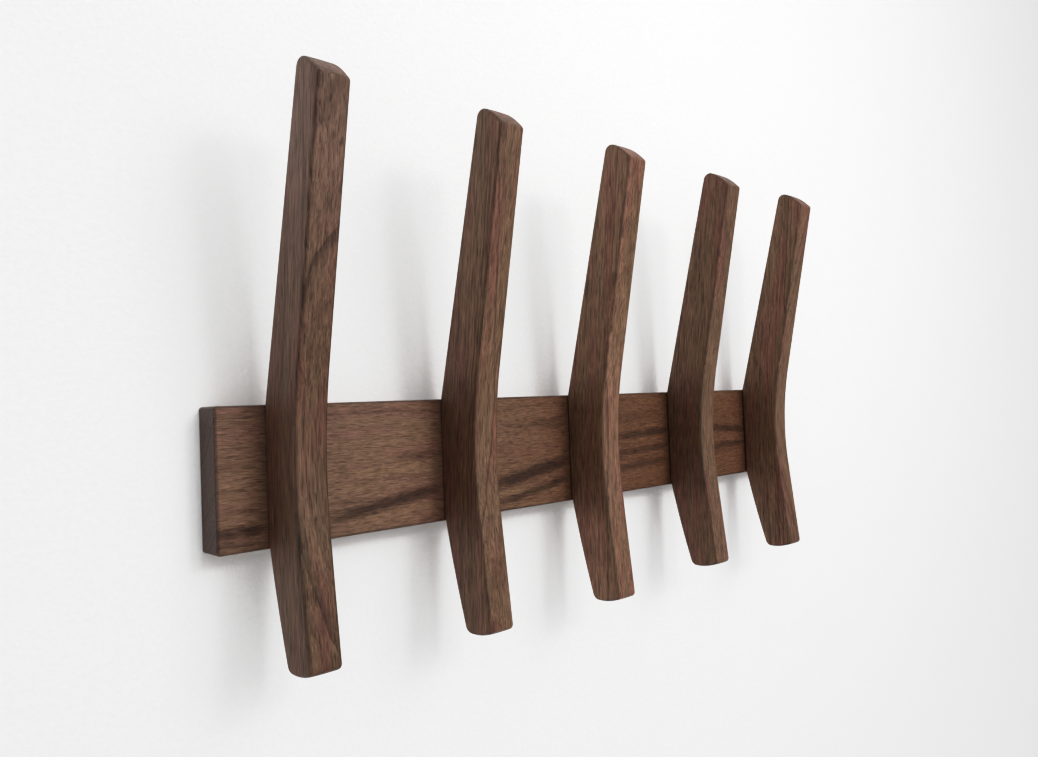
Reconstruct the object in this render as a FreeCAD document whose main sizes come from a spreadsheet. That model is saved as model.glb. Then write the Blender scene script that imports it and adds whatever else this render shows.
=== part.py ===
import FreeCAD, Part
import Sketcher
import math
import os

# A wall-mounted coat rack: one horizontal rail with five bent, double-ended pegs on its front,
# each held by two screws from behind, and two keyhole plates let into the rail's back.
# Frame: origin at the centre of the rail's back (wall) face, +X along the rail, +Z up and
# -Y out into the room. Lengths are in millimetres and angles in degrees.

DIMENSIONS = {
    # rail
    "rail_height": 82.0,
    "rail_thickness": 21.5,
    "rail_end_margin": 39.0,
    "rail_corner_round": 1.8,
    "rail_front_round": 1.6,
    "rail_back_round": 0.8,
    # pegs: heights and drops are counted from the rail's mid height, reaches from its front face
    "peg_pitch": 125.0,
    "peg_width": 20.2,
    "peg_edge_round": 2.4,
    "seat_top_margin": 0.4,
    "seat_bottom_margin": 4.0,
    "top_back_height": 227.0,
    "top_back_reach": 50.1,
    "top_front_height": 211.0,
    "top_front_reach": 72.8,
    "top_crown_radius": 62.0,
    "bottom_back_drop": 111.0,
    "bottom_back_reach": 19.1,
    "bottom_front_drop": 107.6,
    "bottom_front_reach": 45.0,
    "bottom_crown_radius": 66.0,
    "lower_back_bow_radius": 830.0,
    "bend_height": 14.7,
    "bend_reach": 31.9,
    "bend_radius": 295.0,
    "tip_round": 5.8,
    "top_front_round": 3.0,
    "front_foot_round": 3.6,
    # how far each hand-made peg stands from its even place, and how much longer its ends are
    "peg_1_shift": -0.2,
    "peg_2_shift": -0.4,
    "peg_3_shift": -1.6,
    "peg_4_shift": 0.6,
    "peg_5_shift": -0.9,
    "peg_1_head_extra": -0.6,
    "peg_2_head_extra": -0.7,
    "peg_3_head_extra": 0.3,
    "peg_4_head_extra": 0.3,
    "peg_5_head_extra": 0.7,
    "peg_1_foot_extra": -4.5,
    "peg_2_foot_extra": 1.1,
    "peg_3_foot_extra": 3.5,
    "peg_4_foot_extra": -1.5,
    "peg_5_foot_extra": -0.1,
    # screws that hold the pegs
    "peg_screw_spacing": 40.0,
    "peg_screw_length": 38.0,
    "peg_screw_radius": 2.1,
    "peg_screw_head_radius": 4.2,
    "peg_screw_inset": 0.6,
    # keyhole plates in the rail's back
    "hanger_from_end_peg": 46.8,
    "hanger_height": 6.0,
    "plate_length": 44.5,
    "plate_width": 16.0,
    "plate_thickness": 2.0,
    "plate_inset": 0.2,
    "keyhole_entry_radius": 5.0,
    "keyhole_slot_radius": 2.5,
    "keyhole_travel": 12.0,
    "head_pocket_radius": 5.6,
    "head_pocket_depth": 9.0,
    # screws that hold the plates
    "plate_screw_spacing": 34.0,
    "plate_screw_length": 15.0,
    "plate_screw_radius": 1.6,
    "plate_screw_head_radius": 3.2,
    # every screw
    "screw_tip_length": 4.0,
    "recess_reach_share": 0.52,
    "recess_width_share": 0.13,
    "recess_depth_share": 0.6,
    # clearances
    "screw_clearance": 0.05,
    "screw_end_clearance": 0.5,
    "plate_clearance": 0.15,
}

PEG_COUNT = 5

START, END, CENTRE = 1, 2, 3      # the points of a sketch's line or arc
HORIZONTAL_AXIS, VERTICAL_AXIS = -1, -2
SKETCH_ORIGIN = (-1, START)
SAME = 1e-4                       # places nearer than this are one place


class Size:
    """A number and the spreadsheet expression that gives it, worked out side by side."""

    def __init__(self, number, text):
        self.number = float(number)
        self.text = text

    def joined(self, sign, other, number):
        return Size(number, f"({self.text} {sign} {other.text})")

    def __add__(self, other):
        other = as_size(other)
        return self.joined("+", other, self.number + other.number)

    def __sub__(self, other):
        other = as_size(other)
        return self.joined("-", other, self.number - other.number)

    def __mul__(self, other):
        other = as_size(other)
        return self.joined("*", other, self.number * other.number)

    def __truediv__(self, other):
        other = as_size(other)
        return self.joined("/", other, self.number / other.number)

    def __neg__(self):
        return Size(-self.number, f"(-1 * {self.text})")


def as_size(value):
    return value if isinstance(value, Size) else Size(value, repr(float(value)))


def cell(name):
    """A driving dimension, as the sheet holds it."""
    return Size(DIMENSIONS[name], f"sheet.{name}")


ZERO = as_size(0.0)


def make_sheet(doc):
    """Put every driving dimension in one spreadsheet, each under its own alias."""
    sheet = doc.addObject("Spreadsheet::Sheet", "sheet")
    for row, (name, value) in enumerate(DIMENSIONS.items(), start=1):
        sheet.set(f"A{row}", name)
        sheet.set(f"B{row}", str(value))
        sheet.setAlias(f"B{row}", name)
    doc.recompute()
    return sheet


def make_body(doc, label):
    body = doc.addObject("PartDesign::Body", label)
    body.Label = label
    return body


def place(body, x=ZERO, y=ZERO, z=ZERO, rotation=FreeCAD.Rotation()):
    """Put a body at a spot that the sheet gives, turned as asked."""
    spot = FreeCAD.Vector(x.number, y.number, z.number)
    body.Placement = FreeCAD.Placement(spot, rotation)
    for axis, size in zip("xyz", (x, y, z)):
        body.setExpression(f"Placement.Base.{axis}", size.text)


def add_sketch(body, name, role):
    """Attach a new sketch to one of the body's own origin planes."""
    sketch = body.newObject("Sketcher::SketchObject", name)
    plane = next(item for item in body.Origin.OriginFeatures if item.Role == role)
    sketch.AttachmentSupport = [(plane, "")]
    sketch.MapMode = "FlatFace"
    return sketch


def measure(sketch, kind, where, size):
    """Add a dimension to a sketch and bind it to the sheet."""
    index = sketch.addConstraint(Sketcher.Constraint(kind, *where, size.number))
    sketch.setExpression(f"Constraints[{index}]", size.text)


def fix(sketch, piece, point, x, y):
    """Hold one point of a piece at the coordinates x and y, counted from the sketch's origin."""
    held = (piece, point)
    for kind, axis, size in (("DistanceX", VERTICAL_AXIS, x), ("DistanceY", HORIZONTAL_AXIS, y)):
        if size.number > SAME:
            measure(sketch, kind, SKETCH_ORIGIN + held, size)
        elif size.number < -SAME:
            measure(sketch, kind, held + SKETCH_ORIGIN, -size)
        else:
            sketch.addConstraint(Sketcher.Constraint("PointOnObject", piece, point, axis))


def flat(x, y):
    """A sketch vector from two numbers or two sizes."""
    return FreeCAD.Vector(as_size(x).number, as_size(y).number, 0)


def add_line(sketch, start, end):
    return sketch.addGeometry(Part.LineSegment(start, end), False)


def add_arc(sketch, start, end, radius, bulge):
    """Add the short arc from start to end that swells towards the direction bulge."""
    half_chord = (end - start).Length / 2
    rise = radius - math.sqrt(radius ** 2 - half_chord ** 2)
    across = FreeCAD.Vector(start.y - end.y, end.x - start.x, 0).normalize()
    side = math.copysign(1.0, across.dot(bulge))
    middle = (start + end) / 2 + across * side * rise
    return sketch.addGeometry(Part.Arc(start, middle, end), False)


def point_at(sketch, piece, spot):
    """Tell whether a spot is a piece's start or its end."""
    return START if (sketch.getPoint(piece, START) - spot).Length < SAME else END


def join(sketch, kind, first, second, spot):
    """Join two pieces at a spot: kind is Coincident, or Tangent for a smooth joint."""
    ends = (first, point_at(sketch, first, spot), second, point_at(sketch, second, spot))
    sketch.addConstraint(Sketcher.Constraint(kind, *ends))


def draw_polygon(sketch, corners):
    """Draw a closed outline of straight lines through corners given as pairs of sizes."""
    spots = [flat(x, y) for x, y in corners]
    lines = [add_line(sketch, spot, spots[(i + 1) % len(spots)]) for i, spot in enumerate(spots)]
    for i, (x, y) in enumerate(corners):
        join(sketch, "Coincident", lines[i - 1], lines[i], spots[i])
        fix(sketch, lines[i], START, x, y)


def draw_circle(sketch, x, y, radius):
    circle = Part.Circle(flat(x, y), FreeCAD.Vector(0, 0, 1), radius.number)
    piece = sketch.addGeometry(circle, False)
    fix(sketch, piece, CENTRE, x, y)
    measure(sketch, "Radius", (piece,), radius)


def draw_slot(sketch, x, low, high, radius):
    """Draw an upright slot: two half circles about low and high, joined by straight sides."""
    middle, reach = flat(x, 0), FreeCAD.Vector(radius.number, 0, 0)
    bottom, top = middle + flat(0, low), middle + flat(0, high)
    right = add_line(sketch, bottom + reach, top + reach)
    over = sketch.addGeometry(Part.Arc(top + reach, top + flat(0, radius), top - reach), False)
    left = add_line(sketch, top - reach, bottom - reach)
    under = sketch.addGeometry(
        Part.Arc(bottom - reach, bottom - flat(0, radius), bottom + reach), False)
    join(sketch, "Tangent", right, over, top + reach)
    join(sketch, "Tangent", over, left, top - reach)
    join(sketch, "Tangent", left, under, bottom - reach)
    join(sketch, "Tangent", under, right, bottom + reach)
    fix(sketch, over, CENTRE, x, high)
    fix(sketch, under, CENTRE, x, low)
    measure(sketch, "Radius", (over,), radius)


def add_feature(body, kind, name, sketch, **settings):
    """Add a sketch-based feature; a Size among the settings is bound to the sheet."""
    feature = body.newObject(f"PartDesign::{kind}", name)
    feature.Profile = sketch
    sketch.Visibility = False
    for key, value in settings.items():
        if isinstance(value, Size):
            setattr(feature, key, value.number)
            feature.setExpression(key, value.text)
        else:
            setattr(feature, key, value)
    body.Document.recompute()
    return feature


def dress_edges(body, kind, name, size, chosen):
    """Fillet or chamfer the edges of the body's present shape that chosen(edge) picks."""
    base = body.Tip
    edges = [f"Edge{i}" for i, edge in enumerate(base.Shape.Edges, start=1) if chosen(edge)]
    feature = body.newObject(f"PartDesign::{kind}", name)
    feature.Base = (base, edges)
    key = "Radius" if kind == "Fillet" else "Size"
    setattr(feature, key, size.number)
    feature.setExpression(key, size.text)
    body.Document.recompute()
    return feature


def lies_at(edge, **planes):
    """Tell whether every vertex of an edge has the coordinates given, such as y=0."""
    return all(abs(getattr(vertex.Point, axis) - value) < SAME
               for vertex in edge.Vertexes for axis, value in planes.items())


def runs_along(edge, direction):
    """Tell whether an edge is a straight one along a direction."""
    if edge.Curve.TypeId != "Part::GeomLine":
        return False
    return abs(abs(edge.Curve.Direction.dot(direction)) - 1) < SAME


def is_ring(edge, radius):
    """Tell whether an edge is a circle of a radius."""
    return edge.Curve.TypeId == "Part::GeomCircle" and abs(edge.Curve.Radius - radius) < SAME


# Sizes that follow from the driving ones, shared by the pieces that meet.

def even_place(number):
    """Where peg number 1, 2, ... would stand along the rail if all were evenly spaced."""
    return cell("peg_pitch") * (number - (PEG_COUNT + 1) / 2)


def peg_place(number):
    """Where peg number 1, 2, ... really stands along the rail."""
    return even_place(number) + cell(f"peg_{number}_shift")


def hanger_place(side):
    """Where the left (-1) or right (+1) keyhole plate lies along the rail."""
    return (even_place(PEG_COUNT) - cell("hanger_from_end_peg")) * side


def rail_half_length():
    return even_place(PEG_COUNT) + cell("rail_end_margin")


def peg_tips(number):
    """The four corners of a peg's two ends, by name: minus the reach, and the height."""
    head, foot = cell(f"peg_{number}_head_extra"), cell(f"peg_{number}_foot_extra")
    return {
        "top_back": (-cell("top_back_reach"), cell("top_back_height") + head),
        "top_front": (-cell("top_front_reach"), cell("top_front_height") + head),
        "bottom_front": (-cell("bottom_front_reach"), -cell("bottom_front_drop") - foot),
        "bottom_back": (-cell("bottom_back_reach"), -cell("bottom_back_drop") - foot),
    }


def peg_screw_heights():
    return {"upper": cell("peg_screw_spacing") / 2, "lower": -cell("peg_screw_spacing") / 2}


def plate_screw_heights():
    return {"upper": cell("plate_screw_spacing") / 2, "lower": -cell("plate_screw_spacing") / 2}


def cut_hole_group(body, name, spots, radius, depth):
    """Drill equal round holes from the body's XZ plane towards -Y."""
    sketch = add_sketch(body, f"{name}_outline", "XZ_Plane")
    for x, z in spots:
        draw_circle(sketch, x, z, radius)
    return add_feature(body, "Pocket", name, sketch, Length=depth, Reversed=True)


def cut_slot_group(body, name, slots, radius, depth):
    """Rout equal upright slots from the body's XZ plane towards -Y."""
    sketch = add_sketch(body, f"{name}_outline", "XZ_Plane")
    for x, low, high in slots:
        draw_slot(sketch, x, low, high, radius)
    return add_feature(body, "Pocket", name, sketch, Length=depth, Reversed=True)


def make_rail(doc):
    body = make_body(doc, "rail")
    half_length, half_height = rail_half_length(), cell("rail_height") / 2
    thickness = cell("rail_thickness")
    outline = add_sketch(body, "rail_outline", "XZ_Plane")
    draw_polygon(outline, [(-half_length, -half_height), (half_length, -half_height),
                           (half_length, half_height), (-half_length, half_height)])
    add_feature(body, "Pad", "rail_board", outline, Length=thickness)
    across = FreeCAD.Vector(0, 1, 0)
    dress_edges(body, "Fillet", "rail_corners", cell("rail_corner_round"),
                lambda edge: runs_along(edge, across))
    dress_edges(body, "Fillet", "rail_front_edges", cell("rail_front_round"),
                lambda edge: lies_at(edge, y=-thickness.number))
    dress_edges(body, "Fillet", "rail_back_edges", cell("rail_back_round"),
                lambda edge: lies_at(edge, y=0))
    cut_peg_screw_holes(body, thickness)
    cut_hanger_recesses(body)
    return body


def cut_peg_screw_holes(body, thickness):
    """Drill and countersink the holes for the screws that hold the pegs."""
    spots = [(peg_place(number), height)
             for number in range(1, PEG_COUNT + 1) for height in peg_screw_heights().values()]
    radius = cell("peg_screw_radius") + cell("screw_clearance")
    cut_hole_group(body, "peg_screw_holes", spots, radius, thickness)
    sink = cell("peg_screw_head_radius") - cell("peg_screw_radius") + cell("peg_screw_inset")
    dress_edges(body, "Chamfer", "peg_screw_countersinks", sink,
                lambda edge: is_ring(edge, radius.number) and lies_at(edge, y=0))


def cut_hanger_recesses(body):
    """Rout the plates' recesses, the pockets for the wall screws' heads and the pilot holes."""
    height, travel = cell("hanger_height"), cell("keyhole_travel")
    floor = cell("plate_inset") + cell("plate_thickness")
    straight = (cell("plate_length") - cell("plate_width")) / 2
    places = [hanger_place(side) for side in (-1, 1)]
    recesses = [(x, height - straight, height + straight) for x in places]
    cut_slot_group(body, "plate_recesses", recesses,
                   cell("plate_width") / 2 + cell("plate_clearance"), floor)
    pockets = [(x, height - travel / 2, height + travel / 2) for x in places]
    cut_slot_group(body, "head_pockets", pockets, cell("head_pocket_radius"),
                   floor + cell("head_pocket_depth"))
    spots = [(x, height + offset) for x in places for offset in plate_screw_heights().values()]
    cut_hole_group(body, "plate_screw_holes", spots,
                   cell("plate_screw_radius") + cell("screw_clearance"),
                   cell("plate_inset") + cell("plate_screw_length") + cell("screw_end_clearance"))


def draw_peg_profile(sketch, tips):
    """Draw a peg from the side: x is minus its reach from the rail's face and y its height."""
    seat_top = (ZERO, cell("rail_height") / 2 - cell("seat_top_margin"))
    seat_bottom = (ZERO, cell("seat_bottom_margin") - cell("rail_height") / 2)
    top_back, top_front, bottom_front, bottom_back = tips.values()
    bend = (-cell("bend_reach"), cell("bend_height"))
    seat_top_at, seat_bottom_at, top_back_at, top_front_at, bottom_front_at, bottom_back_at, bend_at = (
        flat(*corner) for corner in
        (seat_top, seat_bottom, top_back, top_front, bottom_front, bottom_back, bend))

    # the bend is an arc that touches the front's two straight stretches
    upward = (top_front_at - bend_at).normalize()
    downward = (bottom_front_at - bend_at).normalize()
    half_turn = (math.pi - upward.getAngle(downward)) / 2
    tangent_length = cell("bend_radius").number * math.tan(half_turn)
    bend_top_at = bend_at + upward * tangent_length
    bend_bottom_at = bend_at + downward * tangent_length

    up, down = FreeCAD.Vector(0, 1, 0), FreeCAD.Vector(0, -1, 0)
    inward = FreeCAD.Vector(1, 0, 0)
    seat = add_line(sketch, seat_bottom_at, seat_top_at)
    upper_back = add_line(sketch, seat_top_at, top_back_at)
    top_crown = add_arc(sketch, top_back_at, top_front_at, cell("top_crown_radius").number, up)
    upper_front = add_line(sketch, top_front_at, bend_top_at)
    bend_arc = add_arc(sketch, bend_top_at, bend_bottom_at, cell("bend_radius").number, inward)
    lower_front = add_line(sketch, bend_bottom_at, bottom_front_at)
    bottom_crown = add_arc(sketch, bottom_front_at, bottom_back_at,
                           cell("bottom_crown_radius").number, down)
    lower_back = add_arc(sketch, bottom_back_at, seat_bottom_at,
                         cell("lower_back_bow_radius").number, inward)

    join(sketch, "Coincident", seat, upper_back, seat_top_at)
    join(sketch, "Coincident", upper_back, top_crown, top_back_at)
    join(sketch, "Coincident", top_crown, upper_front, top_front_at)
    join(sketch, "Tangent", upper_front, bend_arc, bend_top_at)
    join(sketch, "Tangent", bend_arc, lower_front, bend_bottom_at)
    join(sketch, "Coincident", lower_front, bottom_crown, bottom_front_at)
    join(sketch, "Coincident", bottom_crown, lower_back, bottom_back_at)
    join(sketch, "Coincident", lower_back, seat, seat_bottom_at)
    fix(sketch, seat, END, *seat_top)
    fix(sketch, seat, START, *seat_bottom)
    fix(sketch, upper_back, END, *top_back)
    fix(sketch, upper_front, START, *top_front)
    fix(sketch, lower_front, END, *bottom_front)
    fix(sketch, lower_back, point_at(sketch, lower_back, bottom_back_at), *bottom_back)
    measure(sketch, "Radius", (top_crown,), cell("top_crown_radius"))
    measure(sketch, "Radius", (bend_arc,), cell("bend_radius"))
    measure(sketch, "Radius", (bottom_crown,), cell("bottom_crown_radius"))
    measure(sketch, "Radius", (lower_back,), cell("lower_back_bow_radius"))
    corner = sketch.addGeometry(Part.Point(bend_at), True)
    fix(sketch, corner, START, *bend)
    sketch.addConstraint(Sketcher.Constraint("PointOnObject", corner, START, upper_front))
    sketch.addConstraint(Sketcher.Constraint("PointOnObject", corner, START, lower_front))


def make_peg(doc, number):
    """Make one peg; its own frame lies at its seat, at the rail's mid height."""
    body = make_body(doc, f"peg_{number}")
    width = cell("peg_width")
    profile = add_sketch(body, f"peg_{number}_profile", "YZ_Plane")
    tips = peg_tips(number)
    draw_peg_profile(profile, tips)
    add_feature(body, "Pad", f"peg_{number}_blank", profile, Length=width, Midplane=True)

    rounds = {"top_back": "tip_round", "top_front": "top_front_round",
              "bottom_front": "front_foot_round", "bottom_back": "tip_round"}
    for corner, (reach, height) in tips.items():
        dress_edges(body, "Fillet", f"peg_{number}_{corner}_corner", cell(rounds[corner]),
                    lambda edge: lies_at(edge, y=reach.number, z=height.number))
    dress_edges(body, "Fillet", f"peg_{number}_edges", cell("peg_edge_round"),
                lambda edge: any(lies_at(edge, x=side * width.number / 2) for side in (-1, 1)))

    spots = [(ZERO, height) for height in peg_screw_heights().values()]
    depth = cell("peg_screw_inset") + cell("peg_screw_length") - cell("rail_thickness")
    cut_hole_group(body, f"peg_{number}_pilot_holes", spots,
                   cell("peg_screw_radius") + cell("screw_clearance"),
                   depth + cell("screw_end_clearance"))
    place(body, x=peg_place(number), y=-cell("rail_thickness"))
    return body


def make_screw(doc, label, kind, x, y, z):
    """Make a countersunk wood screw; its head's face is at x, y, z and it points along -Y."""
    body = make_body(doc, label)
    radius, head_radius = cell(f"{kind}_radius"), cell(f"{kind}_head_radius")
    length, tip = cell(f"{kind}_length"), cell("screw_tip_length")
    head_height = head_radius - radius
    profile = add_sketch(body, f"{label}_profile", "XZ_Plane")
    draw_polygon(profile, [(ZERO, ZERO), (head_radius, ZERO), (radius, -head_height),
                           (radius, tip - length), (ZERO, -length)])
    add_feature(body, "Revolution", f"{label}_turning", profile,
                ReferenceAxis=(profile, ["V_Axis"]))

    reach = head_radius * cell("recess_reach_share")
    half = head_radius * cell("recess_width_share")
    recess = add_sketch(body, f"{label}_recess_outline", "XY_Plane")
    draw_polygon(recess, [(reach, -half), (reach, half), (half, half), (half, reach),
                          (-half, reach), (-half, half), (-reach, half), (-reach, -half),
                          (-half, -half), (-half, -reach), (half, -reach), (half, -half)])
    add_feature(body, "Pocket", f"{label}_recess", recess,
                Length=head_height * cell("recess_depth_share"))
    place(body, x, y, z, FreeCAD.Rotation(FreeCAD.Vector(1, 0, 0), -90))
    return body


def make_hanger_plate(doc, name, side):
    """Make one keyhole plate; its own frame lies at the centre of its outer face."""
    body = make_body(doc, f"{name}_hanger_plate")
    straight = (cell("plate_length") - cell("plate_width")) / 2
    thickness, travel = cell("plate_thickness"), cell("keyhole_travel")
    outline = add_sketch(body, f"{name}_plate_outline", "XZ_Plane")
    draw_slot(outline, ZERO, -straight, straight, cell("plate_width") / 2)
    add_feature(body, "Pad", f"{name}_plate_blank", outline, Length=thickness)
    cut_slot_group(body, f"{name}_keyhole_slot", [(ZERO, -travel / 2, travel / 2)],
                   cell("keyhole_slot_radius"), thickness)
    cut_hole_group(body, f"{name}_keyhole_entry", [(ZERO, -travel / 2)],
                   cell("keyhole_entry_radius"), thickness)
    hole = cell("plate_screw_radius") + cell("screw_clearance")
    spots = [(ZERO, height) for height in plate_screw_heights().values()]
    cut_hole_group(body, f"{name}_plate_screw_holes", spots, hole, thickness)
    sink = cell("plate_screw_head_radius") - cell("plate_screw_radius")
    dress_edges(body, "Chamfer", f"{name}_plate_countersinks", sink,
                lambda edge: is_ring(edge, hole.number) and lies_at(edge, y=0))
    place(body, x=hanger_place(side), y=-cell("plate_inset"), z=cell("hanger_height"))
    return body


def make_all(doc):
    """Make every sub-part and return their bodies."""
    bodies = [make_rail(doc)]
    for number in range(1, PEG_COUNT + 1):
        bodies.append(make_peg(doc, number))
        for level, height in peg_screw_heights().items():
            bodies.append(make_screw(doc, f"peg_{number}_{level}_screw", "peg_screw",
                                     peg_place(number), -cell("peg_screw_inset"), height))
    for name, side in (("left", -1), ("right", 1)):
        bodies.append(make_hanger_plate(doc, name, side))
        for level, height in plate_screw_heights().items():
            bodies.append(make_screw(doc, f"{name}_hanger_{level}_screw", "plate_screw",
                                     hanger_place(side), -cell("plate_inset"),
                                     cell("hanger_height") + height))
    return bodies


def check(doc, bodies):
    """Stop if any object failed to compute or any sub-part isn't one valid solid."""
    for item in doc.Objects:
        if "Invalid" in item.State or "Error" in item.State:
            raise RuntimeError(f"{item.Name} failed: {item.State}")
    for body in bodies:
        shape = body.Shape
        if shape.isNull() or not shape.isValid() or len(shape.Solids) != 1:
            raise RuntimeError(f"{body.Label} is not one valid solid")


def main():
    doc = FreeCAD.newDocument("coat_rack")
    make_sheet(doc)
    bodies = make_all(doc)
    doc.recompute()
    check(doc, bodies)
    os.makedirs("parts", exist_ok=True)
    for body in bodies:
        body.Shape.exportStep(f"parts/{body.Label}.step")
        print(f"{body.Label}: {body.Shape.Volume:.1f} mm3")


main()
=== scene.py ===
import logging
import math
from dataclasses import dataclass
from enum import Enum
from typing import Sequence

import bmesh
import bpy
import numpy as np
from mathutils import Matrix, Vector


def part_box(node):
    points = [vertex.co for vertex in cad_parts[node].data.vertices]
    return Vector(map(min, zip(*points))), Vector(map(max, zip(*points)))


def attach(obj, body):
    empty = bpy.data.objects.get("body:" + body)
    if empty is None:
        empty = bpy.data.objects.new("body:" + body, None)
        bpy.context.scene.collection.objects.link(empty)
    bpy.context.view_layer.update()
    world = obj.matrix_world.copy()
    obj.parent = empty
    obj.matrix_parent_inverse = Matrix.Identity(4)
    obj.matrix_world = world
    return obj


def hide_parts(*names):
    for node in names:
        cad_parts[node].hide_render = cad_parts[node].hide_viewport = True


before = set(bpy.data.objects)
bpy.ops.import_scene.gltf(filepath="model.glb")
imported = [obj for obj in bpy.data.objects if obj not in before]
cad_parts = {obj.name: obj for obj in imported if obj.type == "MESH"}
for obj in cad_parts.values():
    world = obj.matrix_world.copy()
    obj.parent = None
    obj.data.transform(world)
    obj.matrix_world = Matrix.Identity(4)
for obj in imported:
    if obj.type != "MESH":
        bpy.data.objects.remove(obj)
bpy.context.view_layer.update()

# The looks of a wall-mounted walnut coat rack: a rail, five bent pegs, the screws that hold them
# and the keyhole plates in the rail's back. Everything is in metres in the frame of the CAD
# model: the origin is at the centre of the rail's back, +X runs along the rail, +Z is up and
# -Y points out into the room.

LOG = logging.getLogger("coat_rack")
MM = 0.001
Socket = bpy.types.NodeSocket
Number = float | Socket
Triple = tuple[float, float, float]
Colour = Triple

TO_MILLIMETRES = (1000.0, 1000.0, 1000.0)
COMBINED_CURVE = 3          # Blender's index of the tone curve that acts on all the colours

# contrast of the fine grain, and how much the pores and the painted edge shade take from the colour
BAND_CONTRAST = 1.75
FIBRE_CONTRAST = 1.55
PORE_DARKENING = 0.48
EDGE_PAINTED_SHADE = 0.46
END_LINE_GAIN = 0.6         # added strength of the year lines on end grain

EDGE_REACH = (2.0, 0.8)     # millimetres from an edge where the painted edge shade starts and where it is full
EDGE_FALLOFF = 2.0          # above 1, the painted edge shade that a mesh marks keeps nearer to its edges

# width and length of the grain's streaks, in millimetres
BAND_SIZE = (1.5, 17.0)
FIBRE_SIZE = (0.45, 14.0)
LONG_PORE_SIZE = (0.85, 19.0)
SHORT_PORE_SIZE = (0.5, 9.0)

# how the year rings bend, in millimetres: how far, and over what distance across and along
RING_SWAY = 10.0
SWAY_ACROSS = 34.0
SWAY_ALONG = 150.0

# the oiled surface
OIL_ROUGHNESS = 0.44
OIL_SPECULAR = 0.24
PORE_RELIEF = 0.07 * MM

CORNER_SHADE_FALLOFF = 1.6        # above 1, a corner's painted shade falls off faster beside the corner
ARM_START = 40.0            # millimetres of height over which a leaning arm's grain sets off

# points along each stretch of a peg's outline, as many in front as behind
CORNER_POINTS = 9
BEND_POINTS = 25
CROWN_POINTS = 6
UPPER_FRONT_POINTS = 34
LOWER_FRONT_POINTS = 18
LOWER_BACK_POINTS = 17
SEAT_POINTS = 20
UPPER_BACK_POINTS = 40

# points across a peg: round each long edge, and over the face between them
EDGE_POINTS = 8
FACE_POINTS = 9


class GrainAxis(Enum):
    """The way a piece of wood was cut: the object axes across, deep in and along the grain."""

    ALONG_RAIL = ("Z", "Y", "X")
    ALONG_PEG = ("X", "Y", "Z")


@dataclass(frozen=True)
class SteelFinish:
    """A plated steel: its colour, how rough it is and the size of its crystals."""

    name: str
    colour: Colour
    roughness: float
    crystal_mm: float


@dataclass(frozen=True)
class PlainFinish:
    """A painted or seamless studio surface with a fine raised texture."""

    name: str
    colour: Colour
    roughness: float
    bump_mm: float
    grain_mm: float


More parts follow.
